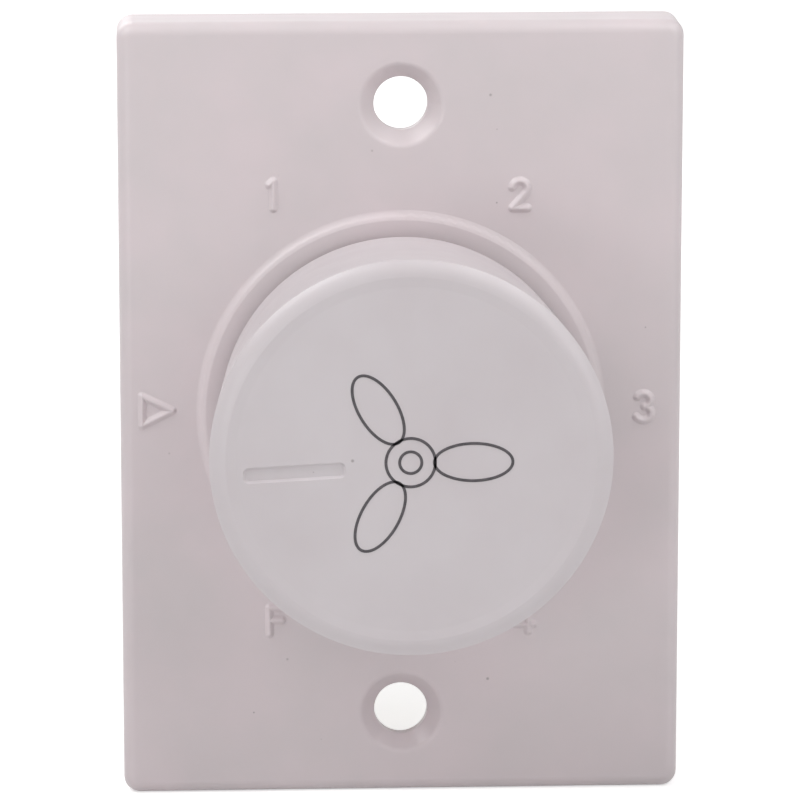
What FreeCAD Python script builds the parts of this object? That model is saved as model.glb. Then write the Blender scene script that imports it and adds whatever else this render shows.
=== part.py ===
# Rotary step fan speed regulator on a flush plate, millimetres.
# Front is -Y, up is +Z. The origin is on the knob's axis, at the back of the plate's front wall.
import FreeCAD, Part
import math
import os

Vector = FreeCAD.Vector

# How far a feature is sunk into the one that it is joined to
WELD = 0.1

# Plate
PLATE_W = 46.0
PLATE_H = 64.4
PLATE_DEPTH = 5.5
PLATE_WALL = 2.2
RIM_WALL = 1.8
CORNER_R = 1.3
EDGE_R = 1.0
PLATE_RIB_T = 1.2
PLATE_RIB_STEP = 0.8
PLATE_RIB_GAP = 0.6
FIXING_PITCH = 50.8
FIXING_R = 2.2
SINK_R = 3.35
SINK_ROUND = 0.6

# Low land under the knob
LAND_R = 16.0
LAND_FLANK = 0.8
LAND_RISE = 0.35

# Knob
KNOB_R = 15.95
KNOB_HEIGHT = 17.0
KNOB_TAPER = 1.1
KNOB_GAP = 1.4
KNOB_DISH = 0.05
KNOB_DISH_EDGE = 0.8
HUB_GAP = 0.5
TIP_GAP = 0.6
SEAT_GAP = 0.2
KNOB_WALL = 1.8
KNOB_RIM_W = 1.3
KNOB_RIM_DROP = 0.6
KNOB_FOOT_R = 0.3
KNOB_HUB_R = 5.4
KNOB_RIB_T = 1.0
KNOB_RIBS = 6
KNOB_RIB_STEP = 0.8
POINTER_AT = 9.3
POINTER_DROP = 0.45
POINTER_L = 8.1
POINTER_W = 1.3
POINTER_DEPTH = 0.22
POINTER_CORNER_R = 0.45
POINTER_SLOPE = 0.2
POINTER_TILT = 3.0

# Spindle and bearing
SPINDLE_R = 3.0
PIVOT_R = 2.0
FLAT_AT = 2.1
SPINDLE_CHAMFER = 0.4
FLAT_RUNOUT = 0.3
PIVOT_PROUD = 0.5
RUN_FIT = 0.05
END_PLAY = 0.05
BUSH_R = 5.2
BUSH_PROUD = 1.6
CLIP_T = 0.6
CLIP_R = 4.6
CLIP_GROOVE = 0.5
CLIP_MOUTH = 4.0
WASHER_T = 0.5
WASHER_R = 5.8
SPRING_CLIP_T = 0.3
SPRING_CLIP_W = 3.4

# Rotor, detent and stop
POSITIONS = 6
ROTOR_R = 11.0
ROTOR_T = 4.4
ROTOR_BOSS_R = 6.4
ROTOR_BOSS_H = 1.4
NOTCH_R = 1.6
NOTCH_BITE = 1.3
LUG_REACH = 2.0
LUG_W = 4.0
LUG_T = 1.8
STOP_GAP = 0.5
STOP_GAP_DEG = 1.5
LEAF_T = 0.4
LEAF_W = 2.2
LEAF_DROP = 2.6
LEAF_BUMP_GAP = 0.2
LEAF_SLOT_FIT = 0.05

# Contacts
WIPER_T = 0.35
WIPER_W = 3.0
WIPER_SPAN = 1.8
WIPER_GAP = 0.05
WIPER_TOE = 0.9
WIPER_LIFT = 0.7
WIPER_BORE_FIT = 0.2
DIMPLE_R = 0.6
STUD_R = 0.8
STUD_AT = 4.2
STUD_HEAD_R = 1.2
STUD_HEAD_T = 0.4
CONTACT_PCD_R = 9.2
CONTACT_R = 1.5
CONTACT_T = 0.6
TAIL_R = 0.55
TAIL_FIT = 0.05
TAIL_PROUD = 0.7
RING_IN_R = 4.4
RING_OUT_R = 6.2

# Boards and pillars
BOARD_CLEAR = 0.3
BASE_T = 2.0
SPACER_H = 2.0
PCB_T = 1.6
COLLAR_WALL = 2.0
COLLAR_H = 1.0
PILLAR_R = 2.8
PILLAR_SHOULDER_R = 3.6
PILLAR_FIT = 0.15
TUBE_WALL = 1.05

# Parts on the circuit board
BIG_CAP_INSET = 1.7
BIG_CAP_D = 12.0
BIG_CAP_SHARE = 0.58
SMALL_CAP_W = 18.0
SMALL_CAP_D = 10.5
CAP_GAP = 0.75
CAP_LIFT = 1.0
ROOF_GAP = 0.35
CAP_EDGE_R = 0.6
LEAD_R = 0.4
LEAD_INSET = 2.2
LEAD_PROUD = 0.8
LEAD_FIT = 0.1
SURGE_R = 1.5
SURGE_L = 10.0
SURGE_EDGE = 0.5
SURGE_PITCH = 3.3
BLEED_R = 1.15
BLEED_L = 6.2
BLEED_APART = 2.0
WIRE_R = 0.35
WIRE_BEND = 0.8
WIRE_REACH = 1.6
RESISTOR_LIFT = 0.9

# Housing
HOUSING_SIDE_GAP = 1.2
HOUSING_HOLE_GAP = 6.2
HOUSING_WALL = 1.8
HOUSING_CORNER_R = 2.0
HOUSING_EDGE_R = 0.8
REAR_GAP = 1.0
SHELF_LIP = 0.7
SHELF_GAP = 1.8
BARRIER_GAP = 0.6
BARRIER_T = 1.2

# Terminals
BLOCK_W = 6.4
BLOCK_D = 7.4
BLOCK_H = 7.8
BLOCK_FIT = 0.1
BLOCK_ROOF_GAP = 0.2
BLOCK_EDGE = 0.4
WIRE_BORE_R = 1.7
WIRE_BORE_AT = 2.9
CLAMP_R = 1.6
CLAMP_FIT = 0.05
CLAMP_HEAD_R = 2.8
CLAMP_HEAD_T = 1.8
CLAMP_HEAD_EDGE = 0.4
CLAMP_CHAMFER = 0.3
CLAMP_TIP_GAP = 0.1
CLAMP_TRAVEL = 2.3
CLAMP_SLOT_W = 0.8
CLAMP_SLOT_D = 0.9
TAB_W = 2.6
TAB_T = 0.8
TAB_FIT = 0.15
TAB_INSET = 1.0

# Housing screws
SCREW_R = 1.25
SCREW_L = 8.0
SCREW_FIT = 0.05
SCREW_HOLE_FIT = 0.2
SCREW_POINT = 0.5
SCREW_HEAD_EDGE = 0.7
SCREW_HEAD_R = 2.4
SCREW_HEAD_T = 1.6
SCREW_SINK_FIT = 0.3
SCREW_TAIL_GAP = 1.0
CROSS_W = 0.6
CROSS_L = 2.6
CROSS_D = 0.8

# Levels along Y that follow from the sizes above
Y_IN = 0.0
Y_FRONT = Y_IN - PLATE_WALL
Y_RIM = Y_FRONT + PLATE_DEPTH
Y_FOOT = Y_FRONT - KNOB_GAP
Y_FACE = Y_FOOT - KNOB_HEIGHT
Y_BUSH = Y_FRONT - BUSH_PROUD
Y_CLIP = Y_BUSH - END_PLAY
Y_HUB = Y_CLIP - CLIP_T - HUB_GAP
Y_TIP = Y_FACE + KNOB_WALL + TIP_GAP
Y_ROTOR = Y_IN + END_PLAY + WASHER_T + END_PLAY
Y_ROTOR_END = Y_ROTOR + ROTOR_T
Y_WIPER = Y_ROTOR_END + ROTOR_BOSS_H
Y_HEAD = Y_WIPER + WIPER_SPAN
Y_BASE = Y_HEAD + CONTACT_T
Y_BASE_END = Y_BASE + BASE_T
Y_PCB = Y_BASE_END + SPACER_H
Y_PCB_END = Y_PCB + PCB_T
Y_REAR = Y_PCB_END + CAP_LIFT + max(BIG_CAP_D, SMALL_CAP_D) + REAR_GAP
Y_END = Y_REAR + HOUSING_WALL
Y_SHELF = Y_PCB_END + SHELF_GAP
Y_SHELF_END = Y_SHELF + HOUSING_WALL
BORE_R = SPINDLE_R + RUN_FIT
PILLAR_HOLE_R = PILLAR_R + PILLAR_FIT
TUBE_R = PILLAR_HOLE_R + TUBE_WALL
PILOT_R = SCREW_R + SCREW_FIT

# Sizes across the axis that follow from the plate
HOUSING_W = PLATE_W - 2 * (RIM_WALL + HOUSING_SIDE_GAP)
HOUSING_H = FIXING_PITCH - 2 * (FIXING_R + HOUSING_HOLE_GAP)
HOUSING_IN_W = HOUSING_W - 2 * HOUSING_WALL
HOUSING_IN_H = HOUSING_H - 2 * HOUSING_WALL
PILLAR_X = HOUSING_IN_W / 2 - TUBE_R
PILLAR_Z = HOUSING_IN_H / 2 - TUBE_R
SHELF_Z = -HOUSING_H / 2 + SHELF_LIP + BLOCK_H + BLOCK_ROOF_GAP
TERMINAL_X = (PILLAR_X - SCREW_HEAD_R - SCREW_SINK_FIT - BARRIER_GAP - BARRIER_T - BLOCK_FIT
              - BLOCK_W / 2)
SURGE_Z = HOUSING_IN_H / 2 - SURGE_EDGE - SURGE_R
BLEED_Z = SHELF_Z + HOUSING_WALL + ROOF_GAP + BLEED_R
CAP_TOP = SURGE_Z - SURGE_PITCH - SURGE_R - CAP_GAP
CAP_ROOM = CAP_TOP - CAP_GAP - (BLEED_Z + BLEED_R + CAP_GAP)
BIG_CAP = (2 * (PILLAR_X - BIG_CAP_INSET), BIG_CAP_D, CAP_ROOM * BIG_CAP_SHARE)
SMALL_CAP = (SMALL_CAP_W, SMALL_CAP_D, CAP_ROOM - BIG_CAP[2])
BIG_CAP_Z = CAP_TOP - BIG_CAP[2] / 2
SMALL_CAP_Z = BLEED_Z + BLEED_R + CAP_GAP + SMALL_CAP[2] / 2
BOARD_W = HOUSING_IN_W - 2 * BOARD_CLEAR
BOARD_H = HOUSING_IN_H - 2 * BOARD_CLEAR
STEP_DEG = 360.0 / POSITIONS
OFF_DEG = 180.0
CORNERS = [(sx * PILLAR_X, sz * PILLAR_Z) for sx in (-1, 1) for sz in (-1, 1)]
SIDES = (-1, 1)


# Small shape helpers

def rod(r, y0, y1, x=0.0, z=0.0):
    return Part.makeCylinder(r, y1 - y0, Vector(x, y0, z), Vector(0, 1, 0))


def ring(r0, r1, y0, y1):
    return rod(r1, y0, y1).cut(rod(r0, y0 - 1, y1 + 1))


def block(x0, x1, y0, y1, z0, z1):
    return Part.makeBox(x1 - x0, y1 - y0, z1 - z0, Vector(x0, y0, z0))


def fuse(shapes):
    whole = shapes[0].multiFuse(shapes[1:]) if len(shapes) > 1 else shapes[0]
    return whole.removeSplitter()


def edges_at(shape, level):
    """Edges that lie wholly in the plane y = level."""
    return [e for e in shape.Edges if abs(e.BoundBox.YMin - level) + abs(e.BoundBox.YMax - level) < 1e-4]


def slab(w, h, corner, y0, y1):
    """Rectangular slab about the axis, its four long edges rounded."""
    body = block(-w / 2, w / 2, y0, y1, -h / 2, h / 2)
    long_edges = [e for e in body.Edges if e.BoundBox.YLength > (y1 - y0) / 2]
    return body.makeFillet(corner, long_edges)


def outline_face(points):
    """Face in the X-Y plane from points (x, y); a triple holds an arc's middle and its end."""
    edges = []
    here = points[0]
    for step in points[1:]:
        if len(step) == 4:
            edges.append(Part.Arc(Vector(here[0], here[1], 0), Vector(step[0], step[1], 0),
                                  Vector(step[2], step[3], 0)).toShape())
            here = step[2:]
        else:
            edges.append(Part.makeLine(Vector(here[0], here[1], 0), Vector(step[0], step[1], 0)))
            here = step
    edges.append(Part.makeLine(Vector(here[0], here[1], 0), Vector(points[0][0], points[0][1], 0)))
    return Part.Face(Part.Wire(edges))


def turned(points):
    """Solid of revolution about the Y axis from an outline of (radius, y)."""
    return outline_face(points).revolve(Vector(0, 0, 0), Vector(0, 1, 0), 360)


def sector(r0, r1, y0, y1, start_deg, span_deg):
    """Part of a ring, angles anticlockwise from +X as seen from the front."""
    face = outline_face([(r0, y0), (r1, y0), (r1, y1), (r0, y1)])
    ring = face.revolve(Vector(0, 0, 0), Vector(0, 1, 0), span_deg)
    ring.rotate(Vector(0, 0, 0), Vector(0, 1, 0), -start_deg - span_deg)
    return ring


def polar(r, deg):
    """Point (x, z) at an angle anticlockwise from +X as seen from the front."""
    return r * math.cos(math.radians(deg)), r * math.sin(math.radians(deg))


def spun(shape, deg):
    """Copy turned anticlockwise as seen from the front."""
    copy = shape.copy()
    copy.rotate(Vector(0, 0, 0), Vector(0, 1, 0), -deg)
    return copy


def d_rod(r, flat, y0, y1):
    """Rod with a flat that faces +Z at the distance flat from the axis."""
    return rod(r, y0, y1).cut(block(-r - 1, r + 1, y0 - 1, y1 + 1, flat, r + 1))


def at_corners(r, y0, y1):
    return [rod(r, y0, y1, x, z) for x, z in CORNERS]


# Detent spring: one strip outline, used for the spring and for its slots

NOTCH_FLOOR = ROTOR_R + NOTCH_R - NOTCH_BITE - NOTCH_R
LEAF_TIP_Z = -(NOTCH_FLOOR + LEAF_BUMP_GAP)
LEAF_Z = -(ROTOR_R + LEAF_DROP)
LEAF_HALF = PILLAR_X - PILLAR_SHOULDER_R / 2
LEAF_Y = (Y_ROTOR + LUG_T + Y_ROTOR_END) / 2
BUMP_R = NOTCH_R - 2 * LEAF_BUMP_GAP


def leaf_path(offset):
    """Points (x, z) of the strip's upper side, moved down by offset along its width."""
    top = LEAF_TIP_Z - offset
    flat = LEAF_Z - offset
    side = BUMP_R - offset
    return [(-LEAF_HALF, flat), (-BUMP_R * 2.2, flat), (-side, top - BUMP_R), (0, top), (side, top - BUMP_R),
            (BUMP_R * 2.2, flat), (LEAF_HALF, flat)]


def detent_spring():
    def side(offset):
        p = [Vector(x, LEAF_Y - LEAF_W / 2, z) for x, z in leaf_path(offset)]
        return p, [Part.makeLine(p[0], p[1]), Part.makeLine(p[1], p[2]), Part.Arc(p[2], p[3], p[4]).toShape(),
                   Part.makeLine(p[4], p[5]), Part.makeLine(p[5], p[6])]
    upper, upper_edges = side(0.0)
    lower, lower_edges = side(LEAF_T)
    ends = [Part.makeLine(upper[-1], lower[-1]), Part.makeLine(lower[0], upper[0])]
    wire = Part.Wire(Part.__sortEdges__(upper_edges + lower_edges + ends))
    return Part.Face(wire).extrude(Vector(0, LEAF_W, 0))


# Front plate

def screw_seat(z):
    """Level of the face under a housing screw's head."""
    return Y_REAR if z > 0 else Y_SHELF_END


def pillar_end(z):
    """Pillars stop short of the wall that the screw's head bears on."""
    return screw_seat(z) - HOUSING_WALL - PILLAR_FIT


def fixing_cut(z):
    """Hole with a 90 degree countersink whose mouth is rounded into the face."""
    half = math.radians(22.5)
    reach = SINK_ROUND * math.tan(half)
    mouth = SINK_R + reach
    turn = reach * math.sqrt(0.5)
    middle = (mouth - SINK_ROUND * math.sin(half), Y_FRONT + SINK_ROUND * (1 - math.cos(half)))
    cut = turned([(0, Y_FRONT - 1), (mouth, Y_FRONT - 1), (mouth, Y_FRONT),
                  middle + (SINK_R - turn, Y_FRONT + turn),
                  (FIXING_R, Y_FRONT + SINK_R - FIXING_R), (FIXING_R, Y_RIM), (0, Y_RIM)])
    cut.translate(Vector(0, 0, z))
    return cut


def land():
    """Low round land under the knob, its flank an S of two equal arcs."""
    turn = 2 * math.atan(LAND_RISE / LAND_FLANK)
    r = LAND_FLANK / 2 / math.sin(turn)
    step_x = r * math.sin(turn / 2)
    step_y = r * (1 - math.cos(turn / 2))
    top = Y_FRONT - LAND_RISE
    mid = LAND_R + LAND_FLANK / 2
    outer = LAND_R + LAND_FLANK
    return turned([(0, Y_FRONT + WELD), (0, top), (LAND_R, top),
                   (LAND_R + step_x, top + step_y, mid, top + LAND_RISE / 2),
                   (outer - step_x, Y_FRONT - step_y, outer, Y_FRONT), (outer, Y_FRONT + WELD)])


def front_plate():
    skin = slab(PLATE_W, PLATE_H, CORNER_R, Y_FRONT, Y_RIM)
    skin = skin.makeFillet(EDGE_R, edges_at(skin, Y_FRONT))
    skin = skin.cut(slab(PLATE_W - 2 * RIM_WALL, PLATE_H - 2 * RIM_WALL, CORNER_R / 2, Y_IN, Y_RIM + 1))
    inner_h = PLATE_H / 2 - RIM_WALL
    rib = block(-PLATE_RIB_T / 2, PLATE_RIB_T / 2, Y_IN - WELD, Y_RIM - PLATE_RIB_STEP,
                HOUSING_H / 2 + PLATE_RIB_GAP, inner_h + WELD)
    ribs = []
    for x in (-PLATE_W / 4, PLATE_W / 4):
        upper = rib.translated(Vector(x, 0, 0))
        ribs += [upper, spun(upper, 180)]
    shoulders = at_corners(PILLAR_SHOULDER_R, Y_IN - WELD, Y_BASE)
    pillars = [rod(PILLAR_R, Y_BASE - WELD, pillar_end(z), x, z) for x, z in CORNERS]
    body = fuse([skin, land()] + ribs + shoulders + pillars)
    lug_half = math.degrees(math.asin(LUG_W / 2 / (ROTOR_R + LUG_REACH)))
    stop_span = STEP_DEG - 2 * (lug_half + STOP_GAP_DEG)
    stop = sector(ROTOR_R + STOP_GAP, ROTOR_R + LUG_REACH + STOP_GAP, Y_IN - WELD, Y_ROTOR + LUG_T,
                  OFF_DEG + lug_half + STOP_GAP_DEG, stop_span)
    body = fuse([body, stop, rod(BUSH_R, Y_BUSH, Y_IN - WELD)])
    body = body.cut(rod(BORE_R, Y_BUSH - 1, Y_IN + 1))
    for side in SIDES:
        body = body.cut(fixing_cut(side * FIXING_PITCH / 2))
    pilots = [rod(PILOT_R, screw_seat(z) - SCREW_L - SCREW_TAIL_GAP, Y_END, x, z) for x, z in CORNERS]
    slot = block(-LEAF_HALF - LEAF_SLOT_FIT, LEAF_HALF + LEAF_SLOT_FIT, LEAF_Y - LEAF_W / 2, Y_BASE,
                 LEAF_Z - LEAF_T - LEAF_SLOT_FIT, LEAF_Z + LEAF_SLOT_FIT)
    return body.cut(pilots + [slot])


# Knob and what turns with it

def knob_shell():
    """Cup that widens towards its face, turned in one outline: the face bends over to a crisp edge."""
    slope = KNOB_TAPER / KNOB_HEIGHT
    y_in = Y_FACE + KNOB_WALL
    bend = math.atan(KNOB_RIM_DROP / KNOB_RIM_W)
    bend_r = KNOB_RIM_W / math.sin(2 * bend)
    bend_in = KNOB_R - KNOB_RIM_W
    foot_r = KNOB_R - KNOB_TAPER
    foot_mid = KNOB_FOOT_R * (1 - math.sqrt(0.5))
    dish_r = bend_in - KNOB_DISH_EDGE
    return turned([(0, Y_FACE + KNOB_DISH), (dish_r, Y_FACE + KNOB_DISH), (bend_in, Y_FACE),
                   (bend_in + bend_r * math.sin(bend), Y_FACE + bend_r * (1 - math.cos(bend)),
                    KNOB_R, Y_FACE + KNOB_RIM_DROP),
                   (foot_r + slope * KNOB_FOOT_R, Y_FOOT - KNOB_FOOT_R),
                   (foot_r - foot_mid, Y_FOOT - foot_mid, foot_r - KNOB_FOOT_R, Y_FOOT),
                   (foot_r - KNOB_WALL, Y_FOOT), (KNOB_R - KNOB_WALL - slope * KNOB_WALL, y_in), (0, y_in)])


def pointer():
    """Shallow groove that marks the setting, with sloping sides and small round corners."""
    floor = Y_FACE + KNOB_DISH + POINTER_DEPTH
    groove = slab(POINTER_L, POINTER_W, POINTER_CORNER_R, Y_FACE - WELD, floor)
    groove = groove.makeChamfer(POINTER_SLOPE, edges_at(groove, floor))
    groove.translate(Vector(-POINTER_AT, 0, -POINTER_DROP))
    return spun(groove, POINTER_TILT)


def knob():
    y_in = Y_FACE + KNOB_WALL
    shell = knob_shell()
    hub = rod(KNOB_HUB_R, y_in - WELD, Y_HUB)
    rib_end = KNOB_R - KNOB_TAPER - KNOB_WALL / 2
    rib = block(KNOB_HUB_R - KNOB_RIB_T, rib_end, y_in - WELD, Y_HUB - KNOB_RIB_STEP,
                -KNOB_RIB_T / 2, KNOB_RIB_T / 2)
    ribs = [spun(rib, 30 + i * 360.0 / KNOB_RIBS) for i in range(KNOB_RIBS)]
    body = fuse([shell, hub] + ribs)
    seat = d_rod(SPINDLE_R + RUN_FIT, FLAT_AT + SPRING_CLIP_T, Y_TIP - SEAT_GAP, Y_FOOT)
    body = body.cut(seat)
    return body.cut(pointer())


def knob_spring_clip():
    """Bowed steel leaf between the spindle's flat and the knob's seat, drawn pressed flat."""
    return block(-SPRING_CLIP_W / 2, SPRING_CLIP_W / 2, Y_TIP + SPINDLE_CHAMFER, Y_HUB - SEAT_GAP,
                 FLAT_AT, FLAT_AT + SPRING_CLIP_T)


def spindle():
    front = d_rod(SPINDLE_R, FLAT_AT, Y_TIP, Y_HUB + FLAT_RUNOUT)
    bearing = rod(SPINDLE_R, Y_HUB + FLAT_RUNOUT, Y_ROTOR)
    drive = d_rod(SPINDLE_R, FLAT_AT, Y_ROTOR, Y_WIPER)
    pivot = rod(PIVOT_R, Y_WIPER, Y_BASE_END + PIVOT_PROUD)
    body = fuse([front, bearing, drive, pivot])
    body = body.cut(ring(SPINDLE_R - CLIP_GROOVE, SPINDLE_R + 1, Y_CLIP - CLIP_T, Y_CLIP))
    return body.makeChamfer(SPINDLE_CHAMFER, edges_at(body, Y_TIP))


def spindle_circlip():
    clip = ring(SPINDLE_R - CLIP_GROOVE, CLIP_R, Y_CLIP - CLIP_T, Y_CLIP)
    return clip.cut(block(-CLIP_MOUTH / 2, CLIP_MOUTH / 2, Y_CLIP - CLIP_T - 1, Y_CLIP + 1, -CLIP_R - 1, 0))


def thrust_washer():
    y0 = Y_IN + END_PLAY
    return ring(BORE_R, WASHER_R, y0, y0 + WASHER_T)


def detent_rotor():
    drum = rod(ROTOR_R, Y_ROTOR, Y_ROTOR_END)
    for i in range(POSITIONS):
        x, z = polar(ROTOR_R + NOTCH_R - NOTCH_BITE, -90 + i * STEP_DEG)
        drum = drum.cut(rod(NOTCH_R, Y_ROTOR - 1, Y_ROTOR_END + 1, x, z))
    lug = block(ROTOR_R - LUG_W, ROTOR_R + LUG_REACH, Y_ROTOR, Y_ROTOR + LUG_T, -LUG_W / 2, LUG_W / 2)
    boss = rod(ROTOR_BOSS_R, Y_ROTOR_END, Y_WIPER)
    studs = [rod(STUD_R, Y_WIPER, Y_WIPER + WIPER_T, 0, s * STUD_AT) for s in SIDES]
    y_head = Y_WIPER + WIPER_T
    heads = [rod(STUD_HEAD_R, y_head, y_head + STUD_HEAD_T, 0, s * STUD_AT) for s in SIDES]
    body = fuse([drum, spun(lug, OFF_DEG), boss] + studs + heads)
    return body.cut(d_rod(SPINDLE_R + RUN_FIT, FLAT_AT, Y_ROTOR - 1, Y_WIPER + 1))


def wiper_arm(reach, lift):
    """Bent strip along +X that ends in a rounded contact point at the radius reach."""
    y0 = Y_WIPER
    y1 = y0 + lift
    end = reach + WIPER_TOE
    bend = reach - DIMPLE_R - WIPER_TOE - lift
    back = WIPER_T * math.tan(math.radians(22.5))
    strip = outline_face([(PIVOT_R, y0), (bend, y0), (bend + lift, y1), (end, y1), (end, y1 + WIPER_T),
                          (bend + lift - back, y1 + WIPER_T), (bend - back, y0 + WIPER_T),
                          (PIVOT_R, y0 + WIPER_T)])
    strip.translate(Vector(0, 0, -WIPER_W / 2))
    solid = strip.extrude(Vector(0, 0, WIPER_W))
    point = Part.makeSphere(DIMPLE_R, Vector(reach, Y_HEAD - WIPER_GAP - DIMPLE_R, 0))
    stem = rod(DIMPLE_R, y1 + WIPER_T / 2, Y_HEAD - WIPER_GAP - DIMPLE_R, reach, 0)
    return fuse([solid, stem, point])


def wiper_contact():
    hub = rod(STUD_AT + STUD_HEAD_R, Y_WIPER, Y_WIPER + WIPER_T)
    out_arm = spun(wiper_arm(CONTACT_PCD_R, WIPER_LIFT), OFF_DEG)
    in_arm = wiper_arm((RING_IN_R + RING_OUT_R) / 2, WIPER_LIFT)
    body = fuse([hub, out_arm, in_arm])
    holes = [rod(STUD_R + TAIL_FIT, Y_WIPER - 1, Y_HEAD, 0, s * STUD_AT) for s in SIDES]
    return body.cut([rod(SPINDLE_R + WIPER_BORE_FIT, Y_WIPER - 1, Y_HEAD)] + holes)


# Fixed contacts and boards

def contact_points():
    return [polar(CONTACT_PCD_R, OFF_DEG - i * STEP_DEG) for i in range(1, POSITIONS)]


COMMON_POINT = polar((RING_IN_R + RING_OUT_R) / 2, OFF_DEG + STEP_DEG / 2)


def tail(x, z, y0):
    return rod(TAIL_R, y0, Y_PCB_END + TAIL_PROUD, x, z)


def step_contacts():
    rivets = []
    for x, z in contact_points():
        head = rod(CONTACT_R, Y_HEAD, Y_BASE, x, z)
        head = head.makeFillet(CONTACT_T / 3, edges_at(head, Y_HEAD))
        rivets.append(fuse([head, tail(x, z, Y_BASE)]))
    return Part.makeCompound(rivets)


def common_contact():
    track = ring(RING_IN_R, RING_OUT_R, Y_HEAD, Y_BASE)
    return fuse([track, tail(COMMON_POINT[0], COMMON_POINT[1], Y_BASE - WELD)])


def tail_holes(y0, y1):
    return [rod(TAIL_R + TAIL_FIT, y0, y1, x, z) for x, z in contact_points() + [COMMON_POINT]]


def contact_base():
    body = block(-BOARD_W / 2, BOARD_W / 2, Y_BASE, Y_BASE_END, -BOARD_H / 2, BOARD_H / 2)
    spacers = at_corners(TUBE_R, Y_BASE_END, Y_PCB)
    limits = block(-BOARD_W / 2, BOARD_W / 2, Y_BASE, Y_PCB, -BOARD_H / 2, BOARD_H / 2)
    collar = rod(PIVOT_R + COLLAR_WALL, Y_BASE_END, Y_BASE_END + COLLAR_H)
    body = fuse([body, collar] + [s.common(limits) for s in spacers])
    return body.cut(at_corners(PILLAR_HOLE_R, Y_BASE - 1, Y_PCB + 1) + tail_holes(Y_BASE - 1, Y_BASE_END + 1)
                    + [rod(PIVOT_R + RUN_FIT, Y_BASE - 1, Y_BASE_END + 2)])


def lead_points():
    """Board holes (x, z) of the capacitors and resistors."""
    points = []
    for size, z in ((BIG_CAP, BIG_CAP_Z), (SMALL_CAP, SMALL_CAP_Z)):
        points += [(s * (size[0] / 2 - LEAD_INSET), z) for s in SIDES]
    for length, at_x, z in resistor_places():
        points += [(at_x + s * (length / 2 + WIRE_REACH), z) for s in SIDES]
    return points


def tab_cuts(y0, y1, fit):
    """Slots for the terminals' tabs."""
    z = tab_z()
    return [block(s * TERMINAL_X - TAB_W / 2 - fit, s * TERMINAL_X + TAB_W / 2 + fit, y0, y1,
                  z - TAB_T / 2 - fit, z + TAB_T / 2 + fit) for s in SIDES]


def circuit_board():
    body = block(-BOARD_W / 2, BOARD_W / 2, Y_PCB, Y_PCB_END, -BOARD_H / 2, BOARD_H / 2)
    leads = [rod(LEAD_R + LEAD_FIT, Y_PCB - 1, Y_PCB_END + 1, x, z) for x, z in lead_points()]
    return body.cut(at_corners(PILLAR_HOLE_R, Y_PCB - 1, Y_PCB_END + 1) + tail_holes(Y_PCB - 1, Y_PCB_END + 1)
                    + leads + tab_cuts(Y_PCB - 1, Y_PCB_END + 1, TAB_FIT))


# Parts on the circuit board

def capacitor(size, z):
    w, d, h = size
    y0 = Y_PCB_END + CAP_LIFT
    body = block(-w / 2, w / 2, y0, y0 + d, z - h / 2, z + h / 2)
    body = body.makeFillet(CAP_EDGE_R, [e for e in body.Edges if e.BoundBox.YMax > y0 + CAP_EDGE_R])
    feet = [rod(LEAD_R, Y_PCB - LEAD_PROUD, y0 + WELD, s * (w / 2 - LEAD_INSET), z) for s in SIDES]
    return fuse([body] + feet)


def resistor_places():
    bleed_x = BLEED_L / 2 + WIRE_REACH + BLEED_APART / 2
    return [(SURGE_L, 0.0, SURGE_Z), (SURGE_L, 0.0, SURGE_Z - SURGE_PITCH),
            (BLEED_L, -bleed_x, BLEED_Z), (BLEED_L, bleed_x, BLEED_Z)]


def resistor(r, length, at_x, z):
    """Axial resistor with swollen ends and two bent leads."""
    y = Y_PCB_END + r + RESISTOR_LIFT
    neck = r * 0.82
    cap = length * 0.28
    blend = length * 0.06
    half = length / 2
    face = outline_face([(-half, 0), (-half, r * 0.7), (-half + r * 0.3, r), (-half + cap, r),
                         (-half + cap + blend, neck), (half - cap - blend, neck), (half - cap, r),
                         (half - r * 0.3, r), (half, r * 0.7), (half, 0)])
    body = face.revolve(Vector(0, 0, 0), Vector(1, 0, 0), 360)
    body.translate(Vector(at_x, y, z))
    leads = []
    for s in SIDES:
        x0 = at_x + s * (half - WIRE_R)
        x1 = at_x + s * (half + WIRE_REACH)
        turn = WIRE_BEND * (1 - math.sqrt(0.5))
        path = Part.Wire([Part.makeLine(Vector(x0, y, z), Vector(x1 - s * WIRE_BEND, y, z)),
                          Part.Arc(Vector(x1 - s * WIRE_BEND, y, z), Vector(x1 - s * turn, y - turn, z),
                                   Vector(x1, y - WIRE_BEND, z)).toShape(),
                          Part.makeLine(Vector(x1, y - WIRE_BEND, z), Vector(x1, Y_PCB - LEAD_PROUD, z))])
        section = Part.Wire([Part.makeCircle(WIRE_R, Vector(x0, y, z), Vector(s, 0, 0))])
        leads.append(path.makePipeShell([section], True, True))
    return fuse([body] + leads)


# Terminals

def block_z():
    """Upper side of the terminal blocks, under the shelf's roof."""
    return SHELF_Z - BLOCK_ROOF_GAP


def tab_z():
    return block_z() - TAB_T / 2 - TAB_INSET


def terminal(side):
    x = side * TERMINAL_X
    z1 = block_z()
    rear = Y_SHELF_END + BLOCK_D
    body = block(x - BLOCK_W / 2, x + BLOCK_W / 2, Y_SHELF_END, rear, z1 - BLOCK_H, z1)
    body = body.makeChamfer(BLOCK_EDGE, edges_at(body, rear))
    tab = block(x - TAB_W / 2, x + TAB_W / 2, Y_PCB - LEAD_PROUD, Y_SHELF_END + WELD,
                tab_z() - TAB_T / 2, tab_z() + TAB_T / 2)
    body = fuse([body, tab])
    bore_y = Y_SHELF_END + WIRE_BORE_AT
    bore = Part.makeCylinder(WIRE_BORE_R, BLOCK_H + 2, Vector(x, bore_y, z1 - BLOCK_H - 1), Vector(0, 0, 1))
    thread = rod(CLAMP_R + CLAMP_FIT, bore_y, rear + 1, x, z1 - BLOCK_H / 2)
    return body.cut([bore, thread])


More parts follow.
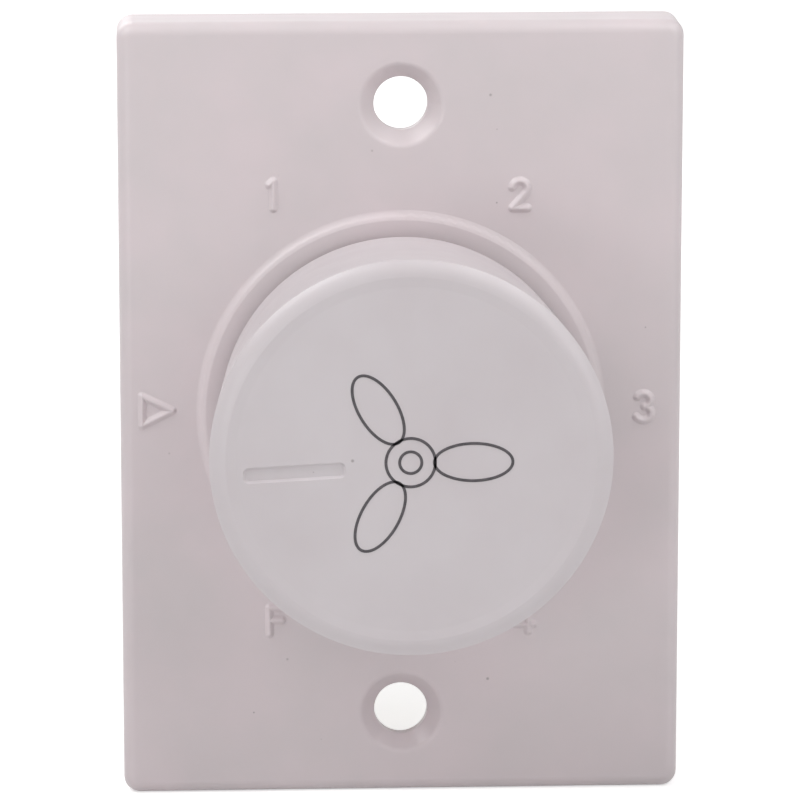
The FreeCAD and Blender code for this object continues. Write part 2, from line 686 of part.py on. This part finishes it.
def terminal_screw(side):
    """Clamp screw, backed out by its travel so that the wire bore is free."""
    x = side * TERMINAL_X
    z = block_z() - BLOCK_H / 2
    seat = Y_SHELF_END + BLOCK_D + CLAMP_TRAVEL
    top = seat + CLAMP_HEAD_T
    tip = Y_SHELF_END + WIRE_BORE_AT + WIRE_BORE_R + CLAMP_TIP_GAP
    shank = rod(CLAMP_R, tip, seat, x, z)
    shank = shank.makeChamfer(CLAMP_CHAMFER, edges_at(shank, tip))
    head = rod(CLAMP_HEAD_R, seat, top, x, z)
    head = head.makeFillet(CLAMP_HEAD_EDGE, edges_at(head, top))
    body = fuse([shank, head])
    slot = block(x - CLAMP_HEAD_R - 1, x + CLAMP_HEAD_R + 1, top - CLAMP_SLOT_D, top + 1,
                 z - CLAMP_SLOT_W / 2, z + CLAMP_SLOT_W / 2)
    return body.cut(slot)


# Housing and its screws

def rear_housing():
    half_w = HOUSING_W / 2
    bottom = -HOUSING_H / 2
    outer = slab(HOUSING_W, HOUSING_H, HOUSING_CORNER_R, Y_IN, Y_END)
    outer = outer.makeFillet(HOUSING_EDGE_R, edges_at(outer, Y_END))
    outer = outer.cut(block(-half_w - 1, half_w + 1, Y_SHELF_END, Y_END + 1, bottom - 1, SHELF_Z))
    room = slab(HOUSING_IN_W, HOUSING_IN_H, HOUSING_CORNER_R / 2, Y_IN - 1, Y_REAR)
    room = room.cut(block(-half_w, half_w, Y_SHELF, Y_END, bottom, SHELF_Z + HOUSING_WALL))
    body = outer.cut(room)
    envelope = slab(HOUSING_W, HOUSING_H, HOUSING_CORNER_R, Y_IN, Y_END)
    tubes = [rod(TUBE_R, Y_PCB_END, screw_seat(z), x, z).common(envelope) for x, z in CORNERS]
    pocket = BLOCK_W / 2 + BLOCK_FIT
    walls = []
    for s in SIDES:
        for edge in (-1, 1):
            x = s * TERMINAL_X + edge * (pocket + BARRIER_T / 2)
            walls.append(block(x - BARRIER_T / 2, x + BARRIER_T / 2,
                               Y_SHELF_END - WELD, Y_END - HOUSING_EDGE_R,
                               block_z() - BLOCK_H, SHELF_Z + WELD))
    body = fuse([body] + tubes + walls)
    for x, z in CORNERS:
        end = pillar_end(z)
        body = body.cut([rod(PILLAR_HOLE_R, Y_PCB_END - 1, end + PILLAR_FIT, x, z),
                         rod(PILOT_R + SCREW_HOLE_FIT, end - 1, Y_END + 1, x, z),
                         rod(SCREW_HEAD_R + SCREW_SINK_FIT, screw_seat(z), Y_END + 1, x, z)])
    return body.cut(tab_cuts(Y_SHELF - 1, Y_SHELF_END + 1, TAB_FIT))


def housing_screws():
    screws = []
    for x, z in CORNERS:
        seat = screw_seat(z)
        shank = rod(SCREW_R, seat - SCREW_L, seat, x, z)
        shank = shank.makeChamfer(SCREW_POINT, edges_at(shank, seat - SCREW_L))
        head = rod(SCREW_HEAD_R, seat, seat + SCREW_HEAD_T, x, z)
        head = head.makeFillet(SCREW_HEAD_EDGE, edges_at(head, seat + SCREW_HEAD_T))
        body = fuse([shank, head])
        top = seat + SCREW_HEAD_T
        for dx, dz in ((CROSS_L, CROSS_W), (CROSS_W, CROSS_L)):
            body = body.cut(block(x - dx / 2, x + dx / 2, top - CROSS_D, top + 1, z - dz / 2, z + dz / 2))
        screws.append(body)
    return Part.makeCompound(screws)


def build():
    places = resistor_places()
    nodes = {
        "front_plate": front_plate(),
        "knob": knob(),
        "knob_spring_clip": knob_spring_clip(),
        "spindle": spindle(),
        "spindle_circlip": spindle_circlip(),
        "thrust_washer": thrust_washer(),
        "detent_rotor": detent_rotor(),
        "detent_spring": detent_spring(),
        "wiper_contact": wiper_contact(),
        "contact_base": contact_base(),
        "step_contacts": step_contacts(),
        "common_contact": common_contact(),
        "circuit_board": circuit_board(),
        "capacitor_large": capacitor(BIG_CAP, BIG_CAP_Z),
        "capacitor_small": capacitor(SMALL_CAP, SMALL_CAP_Z),
        "surge_resistor_a": resistor(SURGE_R, *places[0]),
        "surge_resistor_b": resistor(SURGE_R, *places[1]),
        "bleed_resistor_a": resistor(BLEED_R, *places[2]),
        "bleed_resistor_b": resistor(BLEED_R, *places[3]),
        "line_terminal": terminal(-1),
        "load_terminal": terminal(1),
        "line_screw": terminal_screw(-1),
        "load_screw": terminal_screw(1),
        "rear_housing": rear_housing(),
        "housing_screws": housing_screws(),
    }
    os.makedirs("parts", exist_ok=True)
    for name, shape in nodes.items():
        shape.exportStep("parts/" + name + ".step")
        box = shape.BoundBox
        print(name, len(shape.Solids), shape.isValid(), round(shape.Volume, 2),
              [round(v, 2) for v in (box.XMin, box.XMax, box.YMin, box.YMax, box.ZMin, box.ZMax)])


build()
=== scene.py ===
import math

import bpy
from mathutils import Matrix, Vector


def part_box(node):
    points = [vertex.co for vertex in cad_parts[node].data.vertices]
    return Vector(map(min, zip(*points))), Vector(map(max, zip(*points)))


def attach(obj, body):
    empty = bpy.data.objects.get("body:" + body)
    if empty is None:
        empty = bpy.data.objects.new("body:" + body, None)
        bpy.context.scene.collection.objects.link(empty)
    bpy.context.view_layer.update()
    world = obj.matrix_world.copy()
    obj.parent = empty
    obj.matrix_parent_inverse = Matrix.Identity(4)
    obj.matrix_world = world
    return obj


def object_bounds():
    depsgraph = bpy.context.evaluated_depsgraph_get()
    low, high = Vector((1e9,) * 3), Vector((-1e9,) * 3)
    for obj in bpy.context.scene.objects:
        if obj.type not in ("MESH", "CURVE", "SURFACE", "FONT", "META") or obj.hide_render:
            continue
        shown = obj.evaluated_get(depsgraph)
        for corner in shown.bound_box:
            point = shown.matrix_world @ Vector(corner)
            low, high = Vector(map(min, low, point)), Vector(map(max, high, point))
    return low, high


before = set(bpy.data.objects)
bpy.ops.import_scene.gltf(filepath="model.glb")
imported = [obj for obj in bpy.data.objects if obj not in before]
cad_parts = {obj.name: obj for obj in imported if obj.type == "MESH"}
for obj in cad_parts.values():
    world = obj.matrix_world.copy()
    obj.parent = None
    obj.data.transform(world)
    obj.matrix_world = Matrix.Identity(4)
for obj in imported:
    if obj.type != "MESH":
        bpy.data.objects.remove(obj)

CAD_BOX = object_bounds()
MM = 0.001

# Faces that the scene's own pieces sit on, in millimetres
PLATE_FRONT = -2.2
PLATE_BACK = 0.0
KNOB_DISH = 0.05
KNOB_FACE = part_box("knob")[0][1] / MM + KNOB_DISH

# Raised marks, in millimetres
MARK_WIDE = 0.78
MARK_RISE = 0.27
MARK_ROOT = 0.06
MARK_GRID = 0.034
MARK_CREST = 0.8
MARK_ROOT_SLOPE = 2.0

# Ejector rings on the plate's back, in millimetres
PIN_RING_R = 1.9
PIN_RING_WIDE = 0.22
PIN_RING_RISE = 0.07
PIN_RING_STEPS = 48
PIN_PLACES = ((-15.0, 25.4), (15.0, 25.4), (-15.0, -25.4), (15.0, -25.4))

# Fan print on the knob, in millimetres and degrees
INK_STROKE = 0.25
INK_TOP = 0.84
INK_RISE = 0.03
INK_ROOT = 0.02
BLADE_AT = 4.96
BLADE_LONG = 3.09
BLADE_WIDE = 1.50
BLADE_TURNS = (0.0, 121.0, -119.0)
BLADE_STEPS = 120
HUB_RINGS = (1.95, 0.87)
HUB_STEPS = 72
PRINT_SHIFT = (-0.10, -0.18)

# Studio, in metres and watts
FLOOR_Z = CAD_BOX[0][2]
FLOOR_HALF = 3.0
FLOOR_TONES = (0.78, 0.82)
GLOW_NEAR = 0.54
GLOW_FAR = 0.80
GLOW_REACH = (0.05, 0.28)
AMBIENT = 0.28
LAMPS = {
    "left_top": {"place": (-0.10, -0.05, 0.13), "size": 0.12, "power": 0.138},
    "right_top": {"place": (0.13, -0.03, 0.14), "size": 0.12, "power": 0.045},
    "right_near": {"place": (0.06, -0.06, 0.11), "size": 0.08, "power": 0.034},
    "right_front": {"place": (0.12, -0.12, 0.06), "size": 0.10, "power": 0.048},
    "front_low": {"place": (-0.08, -0.20, 0.0), "size": 0.06, "power": 0.041},
    "rear": {"place": (-0.18, 0.36, 0.26), "size": 0.30, "power": 0.65},
}
CAMERA_PLACE = (-0.0200, -0.4334, 0.0918)
CAMERA_TARGET = (-0.0001, -0.0022, 0.0010)
CAMERA_LENS = 242.3
CAMERA_SENSOR = 36.0


# Node helpers

class Look:
    """One material's node graph, built around its Principled shader."""

    INPUTS = {"colour": "Base Color", "rough": "Roughness", "metal": "Metallic", "ior": "IOR",
              "normal": "Normal", "coat": "Coat Weight", "coat_rough": "Coat Roughness",
              "level": "Specular IOR Level", "under": "Subsurface Weight",
              "under_scale": "Subsurface Scale", "under_radius": "Subsurface Radius",
              "glow": "Emission Strength", "glow_colour": "Emission Color"}

    def __init__(self, name):
        self.mat = bpy.data.materials.new(name)
        self.mat.use_nodes = True
        self.tree = self.mat.node_tree
        self.shader = self.tree.nodes["Principled BSDF"]
        self.place = self.add("ShaderNodeTexCoord").outputs["Object"]

    def add(self, kind, inputs=None, **props):
        node = self.tree.nodes.new(kind)
        for key, value in props.items():
            setattr(node, key, value)
        for key, value in (inputs or {}).items():
            self.put(node.inputs[key], value)
        return node

    def put(self, socket, value):
        if isinstance(value, bpy.types.NodeSocket):
            self.tree.links.new(value, socket)
        else:
            socket.default_value = value

    def set(self, **values):
        for key, value in values.items():
            self.put(self.shader.inputs[self.INPUTS[key]], value)
        return self

    def stretched(self, x, y, z):
        """Object coordinates with each axis scaled."""
        node = self.add("ShaderNodeVectorMath", {0: self.place, 1: (x, y, z)}, operation="MULTIPLY")
        return node.outputs[0]

    def noise(self, scale, detail=3.0, rough=0.5, place=None):
        node = self.add("ShaderNodeTexNoise", {"Vector": place or self.place, "Scale": scale,
                                               "Detail": detail, "Roughness": rough})
        return node.outputs["Fac"]

    def weave(self, axis):
        """Uneven threads that follow one another along an axis."""
        node = self.add("ShaderNodeTexWave", {"Vector": self.place, "Scale": 520.0, "Distortion": 1.5,
                                              "Detail": 2.0}, bands_direction=axis)
        return node.outputs["Fac"]

    def span(self, value, low, high, out_low=0.0, out_high=1.0):
        node = self.add("ShaderNodeMapRange", {"Value": value, "From Min": low, "From Max": high,
                                               "To Min": out_low, "To Max": out_high})
        return node.outputs["Result"]

    def calc(self, operation, a, b=0.0):
        return self.add("ShaderNodeMath", {0: a, 1: b}, operation=operation).outputs[0]

    def mix(self, factor, a, b):
        node = self.add("ShaderNodeMix", {0: factor, 6: a, 7: b}, data_type="RGBA")
        return node.outputs[2]

    def bump(self, height, strength, depth, under=None):
        values = {"Height": height, "Strength": strength, "Distance": depth}
        if under:
            values["Normal"] = under
        return self.add("ShaderNodeBump", values).outputs["Normal"]

    def specks(self, scale, size, share):
        """1 inside rare small round grains with soft edges, 0 elsewhere."""
        cells = self.add("ShaderNodeTexVoronoi", {"Vector": self.place, "Scale": scale, "Randomness": 1.0})
        near = self.span(cells.outputs["Distance"], 0.4 * size, size, 1.0, 0.0)
        picked = self.add("ShaderNodeSeparateColor", {"Color": cells.outputs["Color"]}).outputs["Red"]
        return self.calc("MULTIPLY", near, self.calc("LESS_THAN", picked, share))


def srgb(r, g, b):
    """Linear colour from 8-bit display values."""
    def one(v):
        v = v / 255.0
        return v / 12.92 if v <= 0.04045 else ((v + 0.055) / 1.055) ** 2.4
    return (one(r), one(g), one(b), 1.0)


def grey(level):
    return (level, level, level, 1.0)


# Materials

def moulded_white(name, main, shade, rough, grain, corner_shade):
    """Moulded white plastic: faint flow clouds, fine grain, painted shade darkening the corners and a few dark
    specks.
    """
    look = Look(name)
    corner_shade_colour, speck = srgb(138, 130, 128), srgb(118, 108, 108)
    clouds = look.noise(scale=95.0, rough=0.55)
    colour = look.mix(look.span(clouds, 0.35, 0.68), main, shade)
    flow = look.noise(scale=60.0, detail=2.0, place=look.stretched(1.0, 1.0, 0.25))
    colour = look.mix(look.span(flow, 0.45, 0.75, 0.0, 0.35), colour, shade)
    # Painted shade: the colour is pulled towards a grey-brown where ambient occlusion finds close surfaces, in
    # corners, creases and recesses.
    corner = look.add("ShaderNodeAmbientOcclusion", {"Distance": 0.0011}, samples=8).outputs["AO"]
    colour = look.mix(look.span(corner, 0.35, 0.95, corner_shade, 0.0), colour, corner_shade_colour)
    grains = look.calc("MAXIMUM", look.specks(scale=420.0, size=0.07, share=0.05),
                       look.specks(scale=900.0, size=0.09, share=0.025))
    colour = look.mix(look.calc("MULTIPLY", grains, 0.55), colour, speck)
    fine = look.noise(scale=5200.0, detail=2.0, rough=0.6)
    waves = look.noise(scale=240.0, detail=2.0, rough=0.4)
    normal = look.bump(fine, strength=grain, depth=0.00002)
    normal = look.bump(waves, strength=0.06, depth=0.00025, under=normal)
    rough_map = look.span(look.noise(scale=330.0), 0.3, 0.7, rough - 0.05, rough + 0.06)
    return look.set(colour=colour, rough=rough_map, normal=normal, ior=1.5, under=0.05,
                    under_scale=0.0006, under_radius=(1.0, 0.7, 0.6)).mat


def metal(name, main, worn, rough, axis):
    """Drawn or rolled metal with stains, and with fine lines along the axis that is scaled down."""
    look = Look(name)
    lines = look.noise(scale=900.0, detail=4.0, rough=0.6, place=look.stretched(*axis))
    stain = look.noise(scale=210.0, detail=4.0, rough=0.6)
    colour = look.mix(look.span(stain, 0.42, 0.72, 0.0, 0.8), main, worn)
    rough_map = look.calc("ADD", look.span(lines, 0.3, 0.7, rough - 0.07, rough + 0.09),
                          look.span(stain, 0.5, 0.75, 0.0, 0.12))
    normal = look.bump(lines, strength=0.12, depth=0.00003)
    return look.set(colour=colour, rough=rough_map, metal=1.0, normal=normal).mat


def nylon(name):
    """Milky moulded nylon with a cloudy haze."""
    look = Look(name)
    haze = look.noise(scale=140.0, rough=0.6)
    colour = look.mix(look.span(haze, 0.35, 0.7), srgb(232, 226, 208), srgb(216, 208, 186))
    normal = look.bump(look.noise(scale=3200.0, detail=2.0), strength=0.15, depth=0.00003)
    return look.set(colour=colour, rough=look.span(haze, 0.3, 0.7, 0.34, 0.48), normal=normal, under=0.25,
                    under_scale=0.001, under_radius=(1.0, 0.8, 0.6)).mat


def phenolic(name):
    """Brown phenolic moulding with flakes of filler."""
    look = Look(name)
    flakes = look.noise(scale=1500.0, detail=4.0, rough=0.7)
    filler = look.calc("MULTIPLY", look.specks(scale=1400.0, size=0.2, share=0.12), 0.6)
    colour = look.mix(look.span(flakes, 0.4, 0.65), srgb(58, 36, 26), srgb(96, 62, 42))
    colour = look.mix(filler, colour, srgb(150, 112, 80))
    normal = look.bump(flakes, strength=0.2, depth=0.00003)
    return look.set(colour=colour, rough=look.span(flakes, 0.3, 0.7, 0.38, 0.55), normal=normal).mat


def board(name):
    """Tan circuit board with the weave of its cloth and a few stains."""
    look = Look(name)
    cloth = look.calc("MULTIPLY", look.weave("X"), look.weave("Z"))
    stain = look.span(look.noise(scale=160.0), 0.45, 0.7, 0.0, 0.4)
    colour = look.mix(look.span(cloth, 0.0, 1.0), srgb(170, 128, 70), srgb(194, 154, 92))
    colour = look.mix(stain, colour, srgb(140, 100, 52))
    return look.set(colour=colour, rough=look.span(cloth, 0.0, 1.0, 0.42, 0.56),
                    normal=look.bump(cloth, strength=0.1, depth=0.00003)).mat


def capacitor_case(name):
    """Grey box of a film capacitor."""
    look = Look(name)
    cloud = look.noise(scale=170.0)
    grains = look.calc("MULTIPLY", look.specks(scale=700.0, size=0.08, share=0.1), 0.5)
    colour = look.mix(look.span(cloud, 0.35, 0.7), srgb(126, 129, 134), srgb(112, 115, 121))
    colour = look.mix(grains, colour, srgb(84, 86, 92))
    normal = look.bump(look.noise(scale=2600.0, detail=2.0), strength=0.2, depth=0.00003)
    return look.set(colour=colour, rough=look.span(cloud, 0.3, 0.7, 0.36, 0.5), normal=normal).mat


def resistor(name, main, bands, middle, pitch):
    """Lacquered resistor with colour bands across its length, the same on either side of x = 0."""
    look = Look(name)
    darker = tuple(0.8 * c for c in main[:3]) + (1.0,)
    across = look.add("ShaderNodeSeparateXYZ", {"Vector": look.place})
    cloud = look.noise(scale=900.0, rough=0.6)
    colour = look.mix(look.span(cloud, 0.35, 0.7, 0.0, 0.6), main, darker)
    offset = look.calc("SUBTRACT", look.calc("ABSOLUTE", across.outputs["X"]), middle * MM)
    for i, band in enumerate(bands):
        there = look.calc("ABSOLUTE", look.calc("SUBTRACT", offset, (i - 1.5) * pitch * MM))
        colour = look.mix(look.calc("LESS_THAN", there, 0.3 * pitch * MM), colour, band)
    return look.set(colour=colour, rough=look.span(cloud, 0.3, 0.7, 0.3, 0.45),
                    normal=look.bump(cloud, strength=0.1, depth=0.00004), coat=0.3, coat_rough=0.2).mat


def ink(name):
    """Thin dark grey print."""
    look = Look(name)
    film = look.noise(scale=2400.0, rough=0.6)
    colour = look.mix(look.span(film, 0.35, 0.7), srgb(66, 62, 66), srgb(86, 81, 85))
    return look.set(colour=colour, rough=look.span(film, 0.3, 0.7, 0.4, 0.55),
                    normal=look.bump(film, strength=0.1, depth=0.00001)).mat


BROWN, BLACK, SOOT, GOLD = srgb(120, 70, 30), srgb(20, 20, 20), srgb(30, 30, 30), srgb(190, 150, 60)
RED, YELLOW = srgb(196, 60, 30), srgb(214, 180, 40)
LOOKS = {
    # The last number of each white plastic sets the strength of its painted corner shade.
    "plate_white": moulded_white("plate_white", srgb(219, 207, 210), srgb(212, 203, 205),
                                 rough=0.37, grain=0.10, corner_shade=0.02),
    "knob_white": moulded_white("knob_white", srgb(215, 208, 211), srgb(210, 202, 205),
                                rough=0.37, grain=0.08, corner_shade=0.02),
    "housing_white": moulded_white("housing_white", srgb(216, 210, 207), srgb(207, 200, 196),
                                   rough=0.46, grain=0.14, corner_shade=0.18),
    "nylon": nylon("nylon"),
    "phenolic": phenolic("phenolic"),
    "board": board("board"),
    "capacitor_case": capacitor_case("capacitor_case"),
    "resistor_grey": resistor("resistor_grey", srgb(126, 134, 138), (BROWN, BLACK, SOOT, GOLD),
                              middle=0.0, pitch=1.3),
    "resistor_tan": resistor("resistor_tan", srgb(206, 176, 128), (RED, RED, YELLOW, GOLD),
                             middle=5.7, pitch=0.9),
    "brass": metal("brass", srgb(214, 178, 96), srgb(176, 138, 66), rough=0.30, axis=(1.0, 1.0, 0.06)),
    "bronze": metal("bronze", srgb(202, 142, 96), srgb(158, 102, 64), rough=0.30, axis=(0.06, 1.0, 1.0)),
    "spring_steel": metal("spring_steel", srgb(176, 176, 178), srgb(132, 128, 122),
                          rough=0.28, axis=(0.06, 1.0, 1.0)),
    "spindle_steel": metal("spindle_steel", srgb(196, 196, 198), srgb(160, 158, 154),
                           rough=0.26, axis=(1.0, 0.06, 1.0)),
    "zinc_steel": metal("zinc_steel", srgb(204, 204, 202), srgb(176, 172, 160),
                        rough=0.32, axis=(1.0, 0.3, 1.0)),
}
INK = ink("ink_grey")

NODE_SLOTS = {
    "front_plate": "plate_white", "knob": "knob_white", "rear_housing": "housing_white",
    "knob_spring_clip": "spring_steel", "spindle": "spindle_steel", "spindle_circlip": "spring_steel",
    "thrust_washer": "spring_steel", "detent_rotor": "nylon", "detent_spring": "spring_steel",
    "wiper_contact": "bronze", "contact_base": "phenolic", "step_contacts": "brass",
    "common_contact": "brass", "circuit_board": "board", "capacitor_large": "capacitor_case",
    "capacitor_small": "capacitor_case", "surge_resistor_a": "resistor_grey",
    "surge_resistor_b": "resistor_grey", "bleed_resistor_a": "resistor_tan",
    "bleed_resistor_b": "resistor_tan", "line_terminal": "brass", "load_terminal": "brass",
    "line_screw": "zinc_steel", "load_screw": "zinc_steel", "housing_screws": "zinc_steel",
}
for node, slot in NODE_SLOTS.items():
    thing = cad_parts[node]
    thing.data.materials.clear()
    thing.data.materials.append(LOOKS[slot])


def solid(name, points, faces, mat, body):
    """One piece of the scene's own, which moves with a body of the part."""
    mesh = bpy.data.meshes.new(name)
    mesh.from_pydata(points, [], faces)
    mesh.validate()
    mesh.shade_smooth()
    mesh.materials.append(mat)
    thing = bpy.data.objects.new(name, mesh)
    bpy.context.scene.collection.objects.link(thing)
    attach(thing, body)


# Raised marks: heights on a small grid, so that strokes run into one another softly as in a mould

def arc(cx, cz, rx, rz, start, end, steps=14):
    turn = [math.radians(start + (end - start) * i / steps) for i in range(steps + 1)]
    return [(cx + rx * math.cos(t), cz + rz * math.sin(t)) for t in turn]


# Each mark's centre on the plate, and its strokes about that centre
MARKS = {
    "off": ((-20.0, 0.3), [[(-1.2, 1.2), (-1.2, -1.2), (1.25, 0.0), (-1.2, 1.2)]]),
    "1": ((-10.6, 18.1), [[(-0.14, 0.84), (0.2, 1.14), (0.2, -1.1)]]),
    "2": ((9.65, 18.0), [arc(0.0, 0.5, 0.62, 0.62, 170, -28) + [(-0.6, -1.12), (0.64, -1.12)]]),
    "3": ((19.95, 0.25), [arc(-0.05, 0.56, 0.58, 0.56, 150, -80), arc(-0.05, -0.54, 0.66, 0.58, 82, -150)]),
    "4": ((10.2, -17.5), [[(0.3, -1.14), (0.3, 1.1), (-0.75, -0.52), (0.75, -0.52)]]),
    "F": ((-10.3, -17.5), [[(-0.58, -1.14), (-0.58, 1.1), (0.62, 1.1)], [(-0.58, 0.05), (0.45, 0.05)]]),
}


def reach_to(x, z, a, b):
    """Distance from a point to the run from a to b."""
    dx, dz = b[0] - a[0], b[1] - a[1]
    t = ((x - a[0]) * dx + (z - a[1]) * dz) / (dx * dx + dz * dz)
    t = min(1.0, max(0.0, t))
    return math.hypot(x - a[0] - t * dx, z - a[1] - t * dz)


def mark_height(gap, wide, rise):
    """Rise above the face at a distance from the stroke's middle: soft crest, drafted side, sunk root."""
    edge = 2 * gap / wide
    if edge >= 1.0:
        return rise * (1.0 - edge) * MARK_ROOT_SLOPE
    return rise * (0.5 + 0.5 * math.cos(math.pi * edge)) ** MARK_CREST


def raised_mark(name, strokes, centre, face, front, wide, rise):
    """Strokes raised from a face of the plate that looks to the front or to the back."""
    runs = [(a, b) for line in strokes for a, b in zip(line, line[1:])]
    flat = [p for line in strokes for p in line]
    margin = wide / 2 + MARK_GRID * 3
    x0, z0 = min(p[0] for p in flat) - margin, min(p[1] for p in flat) - margin
    wide_count = int((max(p[0] for p in flat) + margin - x0) / MARK_GRID) + 1
    high_count = int((max(p[1] for p in flat) + margin - z0) / MARK_GRID) + 1
    level = {}
    for i in range(wide_count + 1):
        for j in range(high_count + 1):
            gap = min(reach_to(x0 + i * MARK_GRID, z0 + j * MARK_GRID, a, b) for a, b in runs)
            level[i, j] = mark_height(gap, wide, rise)
    cells = [(i, j) for i in range(wide_count) for j in range(high_count)
             if max(level[i, j], level[i + 1, j], level[i, j + 1], level[i + 1, j + 1]) > -MARK_ROOT / 2]
    kept = set(cells)
    points, faces, index = [], [], {}
    side = 1.0 if front else -1.0

    def corner(i, j, top):
        key = (i, j, top)
        if key not in index:
            index[key] = len(points)
            up = max(level[i, j], -MARK_ROOT) if top else -MARK_ROOT * 2
            points.append(((centre[0] + side * (x0 + i * MARK_GRID)) * MM, (face - side * up) * MM,
                           (centre[1] + z0 + j * MARK_GRID) * MM))
        return index[key]

    for i, j in cells:
        loop = [(i, j), (i + 1, j), (i + 1, j + 1), (i, j + 1)]
        faces.append([corner(a, b, True) for a, b in loop])
        faces.append([corner(a, b, False) for a, b in reversed(loop)])
        for step, start, end in (((0, -1), 0, 1), ((1, 0), 1, 2), ((0, 1), 2, 3), ((-1, 0), 3, 0)):
            if (i + step[0], j + step[1]) not in kept:
                a, b = loop[start], loop[end]
                faces.append([corner(*a, False), corner(*b, False), corner(*b, True), corner(*a, True)])
    solid(name, points, faces, LOOKS["plate_white"], "regulator")


for mark, (centre, strokes) in MARKS.items():
    raised_mark("dial_mark_" + mark, strokes, centre, PLATE_FRONT, True, MARK_WIDE, MARK_RISE)
PIN_RING = arc(0.0, 0.0, PIN_RING_R, PIN_RING_R, 0, 360, PIN_RING_STEPS)
for i, place in enumerate(PIN_PLACES):
    raised_mark("ejector_ring_%d" % (i + 1), [PIN_RING], place, PLATE_BACK, False, PIN_RING_WIDE, PIN_RING_RISE)


# Printed fan sign on the knob: outlines of a hub and three blades

def ink_loop(name, rx, rz, at, turn, steps):
    """Closed line of ink along an ellipse whose centre is at a distance from the print's middle."""
    cos, sin = math.cos(math.radians(turn)), math.sin(math.radians(turn))
    section = ((-0.5, -INK_ROOT), (-INK_TOP / 2, INK_RISE), (INK_TOP / 2, INK_RISE), (0.5, -INK_ROOT))
    points, faces = [], []
    for i in range(steps):
        t = 2 * math.pi * i / steps
        along = Vector((rx * math.cos(t), rz * math.sin(t)))
        out = Vector((rz * math.cos(t), rx * math.sin(t))).normalized()
        for side, rise in section:
            p = along + out * side * INK_STROKE
            x, z = at + p.x, p.y
            points.append(((PRINT_SHIFT[0] + x * cos - z * sin) * MM, (KNOB_FACE - rise) * MM,
                           (PRINT_SHIFT[1] + x * sin + z * cos) * MM))
    for i in range(steps):
        a, b = 4 * i, 4 * ((i + 1) % steps)
        for k in range(4):
            m = (k + 1) % 4
            faces.append([a + k, a + m, b + m, b + k])
    solid(name, points, faces, INK, "knob")


for i, turn in enumerate(BLADE_TURNS):
    ink_loop("fan_print_blade_%d" % (i + 1), BLADE_LONG, BLADE_WIDE, BLADE_AT, turn, BLADE_STEPS)
for i, radius in enumerate(HUB_RINGS):
    ink_loop("fan_print_hub_%d" % (i + 1), radius, radius, 0.0, 0.0, HUB_STEPS)


# Floor, light and camera

def seen(tree):
    """1 for what the camera, a reflection or a clear body looks at."""
    path = tree.nodes.new("ShaderNodeLightPath")
    value = path.outputs["Is Camera Ray"]
    for ray in ("Is Glossy Ray", "Is Transmission Ray"):
        either = tree.nodes.new("ShaderNodeMath")
        either.operation = "MAXIMUM"
        tree.links.new(value, either.inputs[0])
        tree.links.new(path.outputs[ray], either.inputs[1])
        value = either.outputs[0]
    return value


def studio_floor():
    """Pale floor that takes shadows; it glows a little for the eye, and more so away from the part."""
    far = FLOOR_HALF
    mesh = bpy.data.meshes.new("floor")
    mesh.from_pydata([(-far, -far, FLOOR_Z), (far, -far, FLOOR_Z), (far, far, FLOOR_Z), (-far, far, FLOOR_Z)],
                     [], [(0, 1, 2, 3)])
    look = Look("floor")
    tone = look.mix(look.span(look.noise(scale=6.0), 0.3, 0.7), *(grey(level) for level in FLOOR_TONES))
    away = look.add("ShaderNodeVectorMath", {0: look.place}, operation="LENGTH").outputs["Value"]
    glow = look.calc("MULTIPLY", seen(look.tree), look.span(away, *GLOW_REACH, GLOW_NEAR, GLOW_FAR))
    look.set(colour=tone, rough=0.9, level=0.1, glow=glow, glow_colour=grey(1.0))
    mesh.materials.append(look.mat)
    thing = bpy.data.objects.new("floor", mesh)
    bpy.context.scene.collection.objects.link(thing)


def studio_world(ambient):
    """White where it is seen, and an even dim light for everything else."""
    world = bpy.data.worlds.new("studio")
    world.use_nodes = True
    bpy.context.scene.world = world
    tree = world.node_tree
    back = tree.nodes["Background"]
    back.inputs["Strength"].default_value = 1.0
    tone = tree.nodes.new("ShaderNodeMix")
    tone.data_type = "RGBA"
    tree.links.new(seen(tree), tone.inputs[0])
    tone.inputs[6].default_value = grey(ambient)
    tone.inputs[7].default_value = grey(1.0)
    tree.links.new(tone.outputs[2], back.inputs["Color"])


def aimed(name, data, place, target):
    thing = bpy.data.objects.new(name, data)
    thing.location = place
    thing.rotation_euler = (Vector(target) - Vector(place)).to_track_quat("-Z", "Y").to_euler()
    bpy.context.scene.collection.objects.link(thing)
    return thing


def lamp(name, place, size, power):
    """Round soft lamp that looks at the middle of the part's face."""
    data = bpy.data.lights.new(name, "AREA")
    data.shape = "DISK"
    data.size = size
    data.energy = power
    aimed(name, data, place, (0.0, 0.0, 0.0))


def camera(place, target, lens):
    data = bpy.data.cameras.new("camera")
    data.lens = lens
    data.sensor_width = CAMERA_SENSOR
    bpy.context.scene.camera = aimed("camera", data, place, target)


studio_floor()
studio_world(AMBIENT)
for name, values in LAMPS.items():
    lamp(name, **values)
camera(CAMERA_PLACE, CAMERA_TARGET, CAMERA_LENS)
bpy.context.scene.view_settings.view_transform = "Standard"
